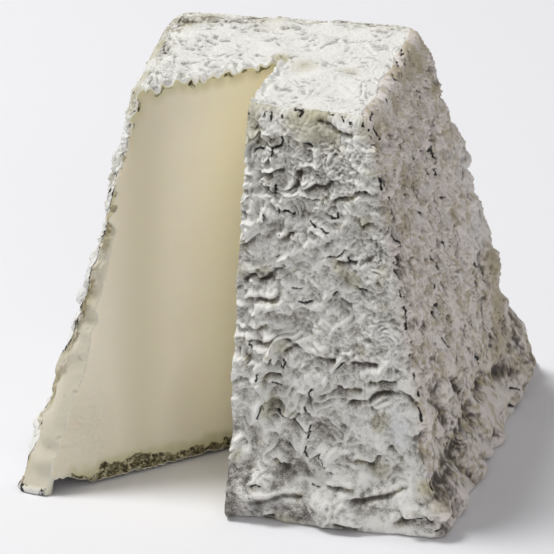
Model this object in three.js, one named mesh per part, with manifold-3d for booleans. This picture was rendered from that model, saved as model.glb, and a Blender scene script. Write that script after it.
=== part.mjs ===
// An ash-coated goat cheese: a truncated square pyramid with a wrinkled rind, from which one
// slim wedge has been cut with a knife. The wedge ran from the middle of the cheese to its
// front-left corner and to the middle of its front side, so seven eighths are left.
//
// Units are millimetres and +Z is up. The cheese stands on z = 0 with the middle of its base
// at the origin, and its front faces -Y. Seen from above, its sides run anticlockwise from the
// front-left corner: front, right, back, left. A place on the walls is (around, z), where
// around is 0 at the front-left corner and grows by 1 for each side.

import * as THREE from "three";
import { mergeVertices } from "three/addons/utils/BufferGeometryUtils.js";
import Module from "manifold-3d";

// Driving dimensions.
const HEIGHT = 69.3;
const BASE_CORNERS = [
  new THREE.Vector2(-38.1, -37.2), // front left
  new THREE.Vector2(37.0, -36.0), // front right
  new THREE.Vector2(37.2, 35.8), // back right
  new THREE.Vector2(-36.6, 36.2), // back left
];
const TOP_CORNERS = [
  new THREE.Vector2(-21.3, -20.3),
  new THREE.Vector2(20.6, -22.8),
  new THREE.Vector2(18.4, 22.8),
  new THREE.Vector2(-25.0, 19.6),
];
const SIDES = 4;
const CORNER_WINDOWS = [7, 4.4, 6, 10.5]; // wall length over which each corner is averaged round
const TOP_EDGE_DROP = 0.9; // how far the rim of the top lies under the top face
const TOP_EDGE_INSET = 0.7;
const BASE_EDGE_INSET = 1.0; // how far the base is set in under the foot
const BASE_EDGE_RISE = 1.0;

// How far the wall stands out of a plain pyramid half way up: at the front-left corner, the
// middle of the front, the front-right corner and so on round.
const SWELLINGS = [-1.0, 1.5, 0.7, 0.9, 0.8, 1.0, 0.2, 0.6];

// The foot has sagged outwards into a roll. The crease over it lies higher towards the back
// right. It is given for each corner.
const FOOT_ROLL = 1.2;
const FOOT_ROLL_HEIGHT = 3.6;
const FOOT_ROLL_REACH = 4.2;
const CREASE = 0.95;
const CREASE_HEIGHTS = [13, 13, 18, 15];
const CREASE_REACH = 4.6;
const KNUCKLE_LENGTH = 10.5; // the roll is knuckled along the wall
const KNUCKLE_DEPTH = 0.62;
const KNUCKLE_TOP = 17; // the knuckles fade out at this height

// The rind's relief. Its finest wrinkles are narrower than this mesh and are left out.
const LUMP_LENGTH = 16;
const LUMP_DEPTH = 0.3;
const FOLD_LENGTH = 6.6;
const FOLD_DEPTH = 0.4;
const FOLD_STRETCH = 1.3; // folds are this much longer than they are high
const FOLD_SWAY = 1.8; // how far the lumps push the folds up and down
const FOLD_FREE_RIM = 5; // the folds fade out this far under the top
const TOP_RELIEF = 0.26;
const TOP_RELIEF_LENGTH = 8.5;

// The knife cuts meet in a line that leans towards the front on its way down, and both lean
// with it. In the top face they run from the middle towards these points outside.
const CUT_MIDDLE = new THREE.Vector2(-0.6, 0.4);
const CUT_MIDDLE_LOW = new THREE.Vector2(-0.5, -5.0); // where they meet in the base
const CUT_CORNER = new THREE.Vector2(-36.6, -36.4);
const CUT_FRONT = new THREE.Vector2(-0.2, -36.5);
const CUT_REACH = 2; // each cut is drawn this many times as long, to run clear of the cheese
const CUT_MARGIN = 6; // and runs this far past the base and the top

// The mesh.
const COLUMNS_PER_SIDE = 31;
const ROWS = 38;
const ROUNDING_TAPS = 9;

const RIND_COLOUR = new THREE.Color(0.72, 0.715, 0.69);
const RIND_ROUGHNESS = 0.9;

const GOLDEN_ANGLE = Math.PI * (3 - Math.sqrt(5));
const mix = (a, b, share) => a + (b - a) * share;
const bell = (x) => Math.exp(-x * x);
const smooth = (x) => {
  const t = Math.min(1, Math.max(0, x));
  return t * t * (3 - 2 * t);
};

// Smooth uneven relief of about -1 to 1: sine waves that run in directions a golden angle
// apart, with lengths around wavelength. seed shifts them against each other.
const WAVES = 7;
function unevenness(x, y, wavelength, seed) {
  let sum = 0;
  for (let k = 0; k < WAVES; k++) {
    const direction = GOLDEN_ANGLE * (k + seed);
    const length = wavelength * (0.75 + (0.5 * k) / (WAVES - 1));
    const along = x * Math.cos(direction) + y * Math.sin(direction);
    sum += Math.sin((2 * Math.PI * along) / length + seed * (k + 1) * 1.7);
  }
  return sum / Math.sqrt(WAVES);
}

// A value round the walls, blended between values that stand at even steps from the
// front-left corner on.
function blendRound(values, around) {
  const place = ((((around / SIDES) % 1) + 1) % 1) * values.length;
  const index = Math.floor(place) % values.length;
  return mix(values[index], values[(index + 1) % values.length], smooth(place - index));
}

// A corner of the cross-section at a height.
function cornerAt(index, z) {
  const t = z / HEIGHT;
  const base = BASE_CORNERS[index % SIDES];
  const top = TOP_CORNERS[index % SIDES];
  return new THREE.Vector2(mix(base.x, top.x, t), mix(base.y, top.y, t));
}

// A point of the sharp-cornered cross-section.
function sharpOutline(around, z) {
  const wrapped = ((around % SIDES) + SIDES) % SIDES;
  const side = Math.floor(wrapped);
  return cornerAt(side, z).lerp(cornerAt(side + 1, z), wrapped - side);
}

// A point of the cross-section with its corners averaged round.
function roundOutline(around, z) {
  const window = blendRound(CORNER_WINDOWS, around) / cornerAt(0, z).distanceTo(cornerAt(1, z));
  const sum = new THREE.Vector2();
  for (let k = 0; k < ROUNDING_TAPS; k++) {
    sum.add(sharpOutline(around + (k / (ROUNDING_TAPS - 1) - 0.5) * window, z));
  }
  return sum.divideScalar(ROUNDING_TAPS);
}

// The outward direction of the cross-section.
function outwards(around, z) {
  const step = 0.01;
  const along = roundOutline(around + step, z).sub(roundOutline(around - step, z));
  return new THREE.Vector2(along.y, -along.x).normalize();
}

// Millimetres along the wall at mid height. It starts in the part that is cut away.
const SEAM = 0.25;
const SIDE_LENGTH = 57;
const alongWall = (around) =>
  ((((around - SEAM) % SIDES) + SIDES) % SIDES) * SIDE_LENGTH;

// How far the wall stands out of the plain pyramid.
function swelling(around, z) {
  return blendRound(SWELLINGS, around) * Math.sin((Math.PI * z) / HEIGHT);
}

function foot(around, z) {
  const creaseHeight = blendRound(CREASE_HEIGHTS, around);
  const knuckles = unevenness(alongWall(around), z, KNUCKLE_LENGTH, 2);
  return (
    FOOT_ROLL * bell((z - FOOT_ROLL_HEIGHT) / FOOT_ROLL_REACH) -
    CREASE * bell((z - creaseHeight) / CREASE_REACH) +
    KNUCKLE_DEPTH * knuckles * smooth(2 - (2 * z) / KNUCKLE_TOP)
  );
}

function folds(around, z) {
  const x = alongWall(around);
  const lumps = unevenness(x, z, LUMP_LENGTH, 5);
  const fold = unevenness(x / FOLD_STRETCH, z + FOLD_SWAY * lumps, FOLD_LENGTH, 11);
  const fade = smooth((HEIGHT - z) / FOLD_FREE_RIM);
  return LUMP_DEPTH * lumps + FOLD_DEPTH * fold * fade;
}

// A point of the wall. share is 0 on the base and 1 at the rim of the top.
function wallPoint(around, share) {
  const z = share * (HEIGHT - TOP_EDGE_DROP);
  const baseInset = BASE_EDGE_INSET * (1 - smooth(z / (2 * BASE_EDGE_RISE)));
  const topInset = TOP_EDGE_INSET * smooth(1 - (HEIGHT - TOP_EDGE_DROP - z) / 2);
  const out =
    swelling(around, z) + foot(around, z) + folds(around, z) - baseInset - topInset;
  const p = roundOutline(around, z).addScaledVector(outwards(around, z), out);
  return new THREE.Vector3(p.x, p.y, z);
}

// The ring of wall points at a row. The lowest rows lie closer together.
function wallRow(row) {
  const share = Math.pow(row / ROWS, 1.06);
  return Array.from({ length: SIDES * COLUMNS_PER_SIDE }, (_, column) =>
    wallPoint(column / COLUMNS_PER_SIDE, share),
  );
}

// A point inside the top face, between the four sides of its rim. i runs along the front
// and j towards the back.
function topPoint(rim, i, j) {
  const n = COLUMNS_PER_SIDE;
  const at = (index) => rim[index % rim.length];
  const s = i / n;
  const t = j / n;
  const front = at(i);
  const right = at(n + j);
  const back = at(3 * n - i);
  const left = at(4 * n - j);
  const blend = (axis) =>
    mix(front[axis], back[axis], t) +
    mix(left[axis], right[axis], s) -
    mix(mix(at(0)[axis], at(n)[axis], s), mix(at(3 * n)[axis], at(2 * n)[axis], s), t);
  const x = blend("x");
  const y = blend("y");
  const relief = TOP_RELIEF * unevenness(x, y, TOP_RELIEF_LENGTH, 18);
  return new THREE.Vector3(x, y, HEIGHT + relief);
}

// The whole pyramid as one closed mesh.
function wholeCheese() {
  const positions = [];
  const corners = [];
  const n = COLUMNS_PER_SIDE;
  const around = SIDES * n;
  const add = (point) => positions.push(point.x, point.y, point.z) / 3 - 1;
  const quad = (a, b, c, d) => corners.push(a, b, c, a, c, d);

  const rows = [];
  for (let row = 0; row <= ROWS; row++) {
    rows.push(wallRow(row).map(add));
  }
  for (let row = 0; row < ROWS; row++) {
    for (let i = 0; i < around; i++) {
      const next = (i + 1) % around;
      quad(rows[row][i], rows[row][next], rows[row + 1][next], rows[row + 1][i]);
    }
  }

  const rim = wallRow(ROWS);
  const onRim = (i, j) => {
    if (j === 0) return rows[ROWS][i];
    if (i === n) return rows[ROWS][n + j];
    if (j === n) return rows[ROWS][3 * n - i];
    if (i === 0) return rows[ROWS][(4 * n - j) % around];
    return null;
  };
  const top = [];
  for (let j = 0; j <= n; j++) {
    top.push([]);
    for (let i = 0; i <= n; i++) {
      top[j].push(onRim(i, j) ?? add(topPoint(rim, i, j)));
    }
  }
  for (let j = 0; j < n; j++) {
    for (let i = 0; i < n; i++) {
      quad(top[j][i], top[j][i + 1], top[j + 1][i + 1], top[j + 1][i]);
    }
  }

  const base = wallRow(0).map((p) => new THREE.Vector2(p.x, p.y));
  for (const [a, b, c] of THREE.ShapeUtils.triangulateShape(base, [])) {
    corners.push(rows[0][a], rows[0][c], rows[0][b]);
  }
  return new THREE.BufferGeometry()
    .setAttribute("position", new THREE.Float32BufferAttribute(positions, 3))
    .setIndex(corners);
}

// The wedge that the knife took out, as a leaning prism that reaches past the cheese.
function cutWedge() {
  const reach = (to) => CUT_MIDDLE.clone().lerp(to, CUT_REACH);
  const shape = new THREE.Shape([CUT_MIDDLE, reach(CUT_CORNER), reach(CUT_FRONT)]);
  const sway = CUT_MIDDLE_LOW.clone().sub(CUT_MIDDLE); // from the top face down to the base
  const lean = new THREE.Matrix4().set(
    1, 0, -sway.x / HEIGHT, sway.x,
    0, 1, -sway.y / HEIGHT, sway.y,
    0, 0, 1, 0,
    0, 0, 0, 1,
  );
  const upright = new THREE.ExtrudeGeometry(shape, {
    depth: HEIGHT + 2 * CUT_MARGIN,
    bevelEnabled: false,
  }).translate(0, 0, -CUT_MARGIN);
  return upright.applyMatrix4(lean);
}

const wasm = await Module();
wasm.setup();

function solidOf(geometry) {
  const bare = geometry.clone();
  bare.deleteAttribute("normal");
  bare.deleteAttribute("uv");
  const merged = mergeVertices(bare, 1e-4);
  return new wasm.Manifold(
    new wasm.Mesh({
      numProp: 3,
      vertProperties: merged.attributes.position.array,
      triVerts: new Uint32Array(merged.index.array),
    }),
  );
}

function geometryOf(solid) {
  const mesh = solid.getMesh();
  return new THREE.BufferGeometry()
    .setAttribute("position", new THREE.BufferAttribute(mesh.vertProperties, 3))
    .setIndex(new THREE.BufferAttribute(mesh.triVerts, 1));
}

const cheese = new THREE.Mesh(
  geometryOf(solidOf(wholeCheese()).subtract(solidOf(cutWedge()))),
  new THREE.MeshStandardMaterial({
    color: RIND_COLOUR,
    roughness: RIND_ROUGHNESS,
    metalness: 0,
  }),
);
cheese.name = "cheese";

const group = new THREE.Group();
group.add(cheese);

export default group;
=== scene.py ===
"""An ash-coated goat cheese pyramid with a slim wedge cut out of it.

The cheese is one closed mesh. Its walls are a fine grid bent round the same form as the
part's solid, and a field of wrinkles pushes that grid out, in and down. A knife then takes
the wedge away, and both cut faces are filled with paste. Lengths are in millimetres up to
the point where the mesh is made.
"""

import math
from types import SimpleNamespace

import bmesh
import bpy
import numpy as np
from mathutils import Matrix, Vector
from mathutils.geometry import delaunay_2d_cdt


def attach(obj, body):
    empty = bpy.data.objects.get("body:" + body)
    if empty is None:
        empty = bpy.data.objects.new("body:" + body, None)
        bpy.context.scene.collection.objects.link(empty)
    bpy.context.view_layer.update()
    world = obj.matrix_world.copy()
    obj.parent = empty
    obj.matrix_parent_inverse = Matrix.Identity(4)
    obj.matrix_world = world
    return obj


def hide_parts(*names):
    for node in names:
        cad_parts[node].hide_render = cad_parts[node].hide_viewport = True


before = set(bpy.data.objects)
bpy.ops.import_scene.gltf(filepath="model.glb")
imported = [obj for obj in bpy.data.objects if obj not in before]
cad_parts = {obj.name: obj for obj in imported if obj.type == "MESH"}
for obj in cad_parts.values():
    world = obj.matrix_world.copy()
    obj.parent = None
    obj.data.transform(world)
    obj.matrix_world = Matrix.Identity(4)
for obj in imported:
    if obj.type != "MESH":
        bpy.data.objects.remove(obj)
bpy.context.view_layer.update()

MM = 0.001

# ---- form, as in the solid

HEIGHT = 69.3
BASE_CORNERS = np.array([(-38.1, -37.2), (37.0, -36.0), (37.2, 35.8), (-36.6, 36.2)])
TOP_CORNERS = np.array([(-21.3, -20.3), (20.6, -22.8), (18.4, 22.8), (-25.0, 19.6)])
SIDES = 4
CORNER_WINDOWS = (7, 4.4, 6, 10.5)
ROUNDING_TAPS = 9
SWELLINGS = (-1.9, 1.5, 0.7, 0.9, 0.8, 1.0, 0.2, 0.4)
FOOT_ROLL = 1.2
FOOT_ROLL_HEIGHT = 3.6
FOOT_ROLL_REACH = 4.2
CREASES = (0.1, 0.95, 0.95, 0.95, 0.95, 0.95, 0.95, 0.8)
CREASE_HEIGHTS = (13, 13, 18, 15)
CREASE_REACH = 4.6
KNUCKLE_LENGTH = 10.5
KNUCKLE_DEPTH = 0.62
KNUCKLE_TOP = 17
LUMP_LENGTH = 16
LUMP_DEPTH = 0.3
FOLD_LENGTH = 6.6
FOLD_DEPTH = 0.4
FOLD_STRETCH = 1.3
FOLD_SWAY = 1.8
FOLD_FREE_RIM = 5
TOP_RELIEF = 0.26
TOP_RELIEF_LENGTH = 8.5
CUT_MIDDLE = np.array([-0.6, 0.4])
CUT_MIDDLE_LOW = np.array([-0.5, -5.0])
CUT_CORNER = np.array([-36.6, -36.4])
CUT_FRONT = np.array([-0.2, -36.5])
FOOT_OF_CUTS = np.append(CUT_MIDDLE_LOW, 0)  # where both cuts meet in the base

GOLDEN_ANGLE = math.pi * (3 - math.sqrt(5))
WAVES = 7
SEAM = 0.25
SIDE_LENGTH = 57

# ---- the fine grid

COLUMNS_PER_SIDE = 320
COLUMNS = SIDES * COLUMNS_PER_SIDE
RIM_RADIUS = 1.3
RIM_ROWS = 9
BASE_RADIUS = 1.2
BASE_ROWS = 7
WALL_ROWS = 400
# Rows past the rim, or cells past the top's border, so that a pattern doesn't meet itself.
PATTERN_MARGIN = 50
TOP_MARGIN = 31
# Corner and size of each grid in the atlas.
WALL_ATLAS = ((0.005, 0.005), (0.99, 0.31))
TOP_ATLAS = ((0.005, 0.33), (0.25, 0.25))
BASE_ATLAS = ((0.27, 0.33), (0.25, 0.25))
# What the colours follow. On the rind: how white the mould is, with painted shade in the
# hollows and creases and painted highlights on what stands out; the black ash; the olive
# stains, with painted shade under the crests and in the creases; thick white mould; the right
# wall's pink tone; and bare paste, painted darker as shade. On the paste: its white skin; the
# dark crust and the dark line under the skin, partly painted shade under the rind's edge; the
# olive tone under the rind; painted warm bounce light deep in the notch; the grey tone near
# the corner; and where it is torn.
MAP_NAMES = ("bloom", "crack", "olive", "fuzz_and_bounce_light", "rose", "smear")

# ---- low forms that the solid leaves out

TOP_SAG = 0.45
FOOT_RISE = 0.02  # how much higher than the last each row of the foot is, at least
# Where the rind ends beside the cut: millimetres past the corner at the foot and higher up.
RIND_END_LOW = -3.0
RIND_END_HIGH = 1.0
# The hollow under the toe of the cut: where it starts along the cut, its length and height.
TOE_START = 34.4
TOE_REACH = 6.5
TOE_RISE = 2.6
TOE_SLACK = 9  # how far round the toe the foot hardly rolls out

# ---- stains and looks of each wall

# Stains on the top and patches of ash: centre in millimetres, reach and strength.
TOP_SPOTS = (
    ((4, -1.5, 69), 2.2, 0.7), ((-18, 17, 69), 2.2, 0.9), ((-21, 13, 69), 1.8, 0.9),
    ((12, -2, 69), 1.6, 0.6), ((-8, 20, 69), 4.0, 0.6), ((-0.8, 1.0, 69), 1.5, 1.5),
)
ASH_SPOTS = (
    ((36, -34, 3), 5.0, 1.0), ((38, 30, 6), 9.0, 0.9), ((34, -5, 12), 6.0, 0.8),
    ((5, -38, 1), 9.0, 0.7),
)
# How rough the walls are, from the front left corner round by the front, right and back.
ROUGHNESS = (0.4, 1.1, 0.7, 0.55, 0.5, 0.7, 0.6, 0.5)
# How far the crests run upwards and not level, round in the same order.
UPRIGHT = (0, 0, 0.5, 1, 0.5, 0.2, 0, 0.2)
# Networks of crests: seed, wavelength in cells and how much longer it is along the wall.
WIDE_CRESTS = ((43, 38, 1.7), (58, 31, 1.3))
NARROW_CRESTS = ((83, 27, 0.65), (88, 19, 0.75))
# Stains on the front and right walls, and thick white mould, in the photograph's pixels:
# middle, half width, half height and strength.
OLIVE_STAINS = (
    (318, 112, 30, 8, 0.5), (366, 222, 8, 9, 0.6), (244, 245, 5, 5, 0.6), (384, 268, 5, 6, 0.5),
    (380, 281, 6, 9, 0.5), (385, 307, 6, 5, 0.5), (238, 453, 5, 6, 0.8), (423, 455, 4, 6, 0.6),
    (425, 488, 7, 9, 1.0), (422, 50, 5, 12, 0.5), (437, 90, 7, 12, 0.4), (449, 132, 5, 14, 0.5),
    (489, 262, 7, 20, 1.0), (497, 300, 7, 20, 1.1), (500, 345, 8, 22, 0.9),
)
WHITE_STAINS = (
    (400, 425, 14, 20, 0.9), (400, 502, 8, 8, 0.7), (425, 474, 5, 5, 0.8), (262, 506, 24, 9, 0.4),
    (462, 160, 9, 18, 0.5), (477, 222, 11, 32, 0.5),
)

# ---- creases seen in the photo

# The photograph's view of the cheese.
AZIMUTH = math.radians(15.07)
ELEVATION = math.radians(23.41)
DISTANCE = 865.7
AIM = (-1.25, -2.865, 31.94)  # to the right, upwards in the picture, and above the floor
FOCAL = 5000
PICTURE = 554

# The lines in it, in pixels: each starts at an x and y, and then come the
# steps across and down from point to point.
# Narrow black slits in the front wall.
FRONT_SLITS = (
    (272, 110, -1, 7), (295, 108, 8, 2, -3, 4), (257, 147, 4, -1, 3, 1),
    (272, 152, 0, -6, 9, -1, 2, -7, -1, -4), (297, 139, 6, -1), (304, 141, 9, 3),
    (264, 182, 2, 5, 10, 6), (276, 184, 0, 9), (279, 209, 10, 0, 5, 5), (304, 196, 12, 2),
    (264, 213, 0, 6, -3, 3), (311, 220, 5, 6), (328, 213, 5, 5, 5, -1, 0, -4), (323, 227, 6, 5),
    (328, 255, 4, 1, 8, -2, 4, -5), (349, 256, 1, 6), (356, 282, 4, 6, 6, 2), (333, 295, 4, -4),
    (293, 286, 8, 1), (300, 299, 12, 2), (253, 338, 0, 11), (273, 353, -4, 9),
    (284, 358, 2, 3, -4, 3), (257, 373, 0, 6), (272, 382, 9, 3), (268, 399, -6, 3, -2, 7, -3, 9),
    (313, 386, -4, 4, 1, 8), (305, 404, 4, 10), (277, 411, 16, 8, 12, 11, 6, 0),
    (311, 424, -2, 11), (330, 371, 6, -4, 8, -5), (307, 443, -1, 5, 4, 6),
    (316, 455, 7, -6, 2, 6, 5, 13, 4, 3), (252, 485, 5, -2, 4, 2), (313, 484, 7, 3),
    (265, 517, 8, 0), (416, 519, 5, 1), (425, 518, 3, 4, 5, 2), (436, 532, 5, -1, 3, -5),
)
# Softer creases in the front wall, each with a fold hanging over it.
FRONT_CREASES = (
    (320, 118, 10, 3, 8, 8, 12, 4), (262, 170, 5, 4, 7, -6, 9, 1), (299, 172, -1, 11, -8, 6),
    (308, 189, 8, -5, 10, 3, 6, -6), (335, 200, 7, -3, 11, 0, 5, -5, 17, 1),
    (280, 239, 8, -3, 4, -4), (246, 279, 8, -5, 4, -4, 8, 8, 11, -10, 9, -3),
    (280, 280, 0, 14, -6, 6, -8, 0, -16, -2), (362, 217, 2, 9, 6, -4), (340, 262, 22, 0, 8, -4),
    (343, 299, 8, 4), (252, 326, 6, 2, 8, -2), (257, 342, 9, 2, 9, -5),
    (264, 388, 1, -12, 5, -3, 10, 1), (288, 339, 9, 4), (318, 357, 10, 2, 6, 2),
    (341, 386, 8, 3, 12, -1), (354, 362, 12, 2, 10, 1), (371, 381, 23, 0),
    (371, 399, 5, -5, 10, -2, 16, -1, 16, 13), (352, 402, 14, -2), (276, 460, 5, 4, 7, 3),
    (330, 485, 15, 2, 7, 3), (250, 503, 18, -2, 15, -6, 17, 1),
    (347, 499, 14, 3, 7, -2, 17, -3, 20, -9), (358, 461, 16, 5, 4, -8), (391, 447, 11, 9),
    (336, 525, 19, 3), (395, 523, 17, -2),
)
# Thin bright folds of the front wall.
FRONT_FOLDS = (
    (268, 168, 10, -4, 8, 5, 8, 4), (240, 190, 10, -4, 8, -5, 8, -3, 8, 2),
    (282, 200, 8, -6, 13, -2, 13, 3), (338, 202, 12, -2, 10, -4, 18, 1),
    (345, 203, 7, 5, 10, 5, 4, 7), (267, 203, -5, 13), (289, 219, -2, 12, -6, 5),
    (349, 216, -7, 9), (318, 148, -1, 17), (272, 259, 12, -3, 12, -5, 7, -4, 7, -6),
    (265, 312, 5, -8, 12, -4), (350, 317, -13, 8, -6, 8), (352, 351, -8, 1, -2, 6, -10, 9),
    (321, 390, 11, -5, 2, -6), (388, 360, -6, 9, -20, 1), (255, 368, 7, -7, 8, -11),
    (262, 398, -6, 8, -2, 9, -4, 10), (288, 411, 12, 8, 8, 9), (304, 400, -2, 16),
    (305, 434, -2, 11, 3, 8), (312, 449, 8, -4, 6, 2, 5, 8, 5, -6), (352, 426, -4, 8, -2, 7),
    (302, 477, 16, 2), (413, 478, 2, 17),
)
# Black slits down the upright edge between the front and right walls, and by the rim.
EDGE_SLITS = (
    (330, 112, 3, 1), (342, 114, 2, 5), (373, 111, -2, 6), (374, 124, 3, 12, 0, 5),
    (381, 179, 3, 2, 2, 6), (387, 195, 1, 8), (393, 235, 2, 5, 3, 6), (395, 256, 5, 4),
    (396, 271, 1, 5), (403, 306, 3, 14, -1, 8), (411, 341, 1, 17), (413, 372, 0, 6),
    (419, 408, 2, 10), (422, 432, 1, 6), (401, 46, 1, 6, 3, -2), (396, 58, 3, 5), (393, 72, 3, 5),
)
RIGHT_SLITS = (
    (418, 89, 2, 4, -1, 4), (403, 137, 1, 6), (407, 145, 2, 7, 4, 7), (429, 146, 4, 17),
    (431, 168, 3, 7), (422, 168, 6, 8), (438, 197, 3, 2, 3, -2), (417, 211, 3, 3),
    (440, 241, 5, 12, 4, 9, 1, 6), (427, 248, 4, 10, 6, 10), (473, 263, 2, 6), (431, 284, 1, 4),
    (438, 300, -2, 6), (434, 304, -1, 18), (440, 335, 7, 12), (474, 351, 4, 12), (516, 386, 5, 4),
    (514, 403, 1, 4),
)
# Soft creases in the right wall, and the broad hollow over its foot.
RIGHT_CREASES = (
    (434, 374, 3, 12, -3, 11), (431, 401, 9, 7, 7, 22, 2, 7), (451, 377, 8, 15, 4, 10),
    (448, 316, 3, 9, 0, 8), (482, 455, 3, 11),
)
RIGHT_HOLLOW = ((500, 373, -18, 11, -7, 16, -11, 30, -11, 22, -11, 30),)
# How far a slit reaches to each side of its middle, in pixels: in the front wall, and in
# the right wall and the upright edge.
SLIT_REACH = 3.0
SIDE_SLIT_REACH = 2.5

# ---- the form of the walls


def smooth(x):
    t = np.clip(x, 0, 1)
    return t * t * (3 - 2 * t)


def rise(x, start, reach):
    return smooth((x - start) / reach)


def fall(x, end, reach):
    return smooth((end - x) / reach)


def bell(x):
    return np.exp(-x * x)


def unevenness(x, y, wavelength, seed):
    total = 0
    for k in range(WAVES):
        direction = GOLDEN_ANGLE * (k + seed)
        length = wavelength * (0.75 + 0.5 * k / (WAVES - 1))
        along = x * math.cos(direction) + y * math.sin(direction)
        total += np.sin(2 * math.pi * along / length + seed * (k + 1) * 1.7)
    return total / math.sqrt(WAVES)


def blend_round(values, around):
    values = np.array(values, float)
    place = (around / SIDES % 1) * len(values)
    index = np.floor(place).astype(int) % len(values)
    share = smooth(place - np.floor(place))
    return values[index] * (1 - share) + values[(index + 1) % len(values)] * share


def sharp_outline(around, z):
    wrapped = around % SIDES
    side = np.floor(wrapped).astype(int) % SIDES
    share = (wrapped - np.floor(wrapped))[..., None]
    t = (z / HEIGHT)[..., None]
    first, second = (
        BASE_CORNERS[corner] * (1 - t) + TOP_CORNERS[corner] * t
        for corner in (side, (side + 1) % SIDES)
    )
    return first * (1 - share) + second * share


def front_length(z):
    t = (z / HEIGHT)[..., None]
    edge = (BASE_CORNERS[1] - BASE_CORNERS[0]) * (1 - t) + (TOP_CORNERS[1] - TOP_CORNERS[0]) * t
    return np.linalg.norm(edge, axis=-1)


def round_outline(around, z):
    window = blend_round(CORNER_WINDOWS, around) / front_length(z)
    total = 0
    for k in range(ROUNDING_TAPS):
        total += sharp_outline(around + (k / (ROUNDING_TAPS - 1) - 0.5) * window, z)
    return total / ROUNDING_TAPS


def outwards(around, z):
    step = 0.01
    along = round_outline(around + step, z) - round_outline(around - step, z)
    out = np.stack([along[..., 1], -along[..., 0]], -1)
    return out / np.linalg.norm(out, axis=-1)[..., None]


def along_wall(around):
    return (around - SEAM) % SIDES * SIDE_LENGTH


def swelling(around, z):
    return blend_round(SWELLINGS, around) * np.sin(math.pi * z / HEIGHT)


def foot(around, z):
    knuckles = KNUCKLE_DEPTH * unevenness(along_wall(around), z, KNUCKLE_LENGTH, 2)
    knuckles *= smooth(2 - 2 * z / KNUCKLE_TOP)
    roll = FOOT_ROLL * bell((z - FOOT_ROLL_HEIGHT) / FOOT_ROLL_REACH)
    height = blend_round(CREASE_HEIGHTS, around)
    crease = blend_round(CREASES, around) * bell((z - height) / CREASE_REACH)
    toe = bell(from_toe(around, z) / TOE_SLACK)
    return (roll + knuckles) * (1 - 0.9 * toe) - crease


def folds(around, z):
    x = along_wall(around)
    lumps = unevenness(x, z, LUMP_LENGTH, 5)
    fold = unevenness(x / FOLD_STRETCH, z + FOLD_SWAY * lumps, FOLD_LENGTH, 11)
    depth = FOLD_DEPTH * (1 - 0.6 * blend_round(UPRIGHT, around))
    return LUMP_DEPTH * lumps + depth * fold * smooth((HEIGHT - z) / FOLD_FREE_RIM)


# ---- wrinkle patterns

WARP_WAVE = 28


def frequencies(shape):
    return np.fft.rfftfreq(shape[1])[None, :], np.fft.fftfreq(shape[0])[:, None]


def filtered(field, kernel):
    return np.fft.irfft2(np.fft.rfft2(field) * kernel, s=field.shape)


def clouds(shape, wave, seed, stretch=1.0):
    """Soft random patches, with mean 0 and deviation 1."""
    kx, ky = frequencies(shape)
    noise = np.random.default_rng(seed).standard_normal(shape)
    field = filtered(noise, np.exp(-((kx * stretch) ** 2 + ky**2) * wave**2))
    field -= field.mean()
    return field / field.std()


def blurred(field, radius):
    kx, ky = frequencies(field.shape)
    return filtered(field, np.exp(-2 * (math.pi * radius) ** 2 * (kx**2 + ky**2)))


def wrinkles(shape, wave, seed, stretch=1.5, rounds=6, gain=1.5, band=0.5):
    """A crumpled field: noise is kept to one band of wavelengths and sharpened by turns."""
    kx, ky = frequencies(shape)
    offset = np.hypot(kx * stretch, ky) * wave - 1
    kernel = np.exp(-((offset / band) ** 2))
    field = np.random.default_rng(seed).standard_normal(shape)
    for turn in range(rounds):
        field = filtered(field, kernel)
        field /= field.std()
        if turn < rounds - 1:
            field = np.tanh(gain * field)
    return field


def sampled(field, rows, columns):
    """The field at places between its cells, by cubic convolution. It wraps round."""
    row0 = np.floor(rows).astype(int)
    column0 = np.floor(columns).astype(int)

    def weights(t):
        return (
            ((-0.5 * t + 1) * t - 0.5) * t,
            (1.5 * t - 2.5) * t * t + 1,
            ((-1.5 * t + 2) * t + 0.5) * t,
            (0.5 * t - 0.5) * t * t,
        )

    row_weights = weights(rows - row0)
    column_weights = weights(columns - column0)
    total = 0
    for i, wr in enumerate(row_weights):
        line = (row0 + i - 1) % field.shape[0]
        for j, wc in enumerate(column_weights):
            total += wr * wc * field[line, (column0 + j - 1) % field.shape[1]]
    return total


def warped(field, sway, seed):
    """The field pushed about by soft patches of the given reach, in cells."""
    rows, columns = np.mgrid[0 : field.shape[0], 0 : field.shape[1]]
    down, across = (clouds(field.shape, WARP_WAVE, seed + k) for k in range(2))
    return sampled(field, rows + 0.7 * sway * down, columns + sway * across)


# ---- the rind's mesh

# Shares of the height under which the folds are slack, and soft as the foot.
SOFT_BELOW = 0.42
FOOT_BELOW = 0.2
# Depths and heights of the wrinkles, in millimetres.
ROLL_DEPTH = 0.36
SECOND_DEPTH = 0.1
SMALL_DEPTH = 0.06
RIDGE_HEIGHT = 1.2
UNDER_DEPTH = 0.3
CRACK_DEPTH = 0.25
PUFF_HEIGHT = 0.4


def row_profile():
    """Height and inset of each row of the walls, from the base over the foot to the rim."""
    base, top = (np.linalg.norm(c[1] - c[0]) for c in (BASE_CORNERS, TOP_CORNERS))
    slope = (base - top) / HEIGHT
    share = np.linspace(0, 1, WALL_ROWS)
    low, high = BASE_RADIUS, HEIGHT - RIM_RADIUS
    width_low, width_high = base - slope * low, base - slope * high
    z = (base - width_low * (width_high / width_low) ** share) / slope
    turn = np.linspace(0, math.pi / 2, BASE_ROWS, endpoint=False)
    base_z, base_inset = BASE_RADIUS * (1 - np.cos(turn)), BASE_RADIUS * (1 - np.sin(turn))
    turn = np.linspace(0, math.pi / 2, RIM_ROWS + 1)[1:]
    rim_z = high + RIM_RADIUS * np.sin(turn)
    rim_inset = RIM_RADIUS * (1 - np.cos(turn))
    heights = np.concatenate([base_z, z, rim_z])
    insets = np.concatenate([base_inset, np.zeros(WALL_ROWS), rim_inset])
    return heights, insets


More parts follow.
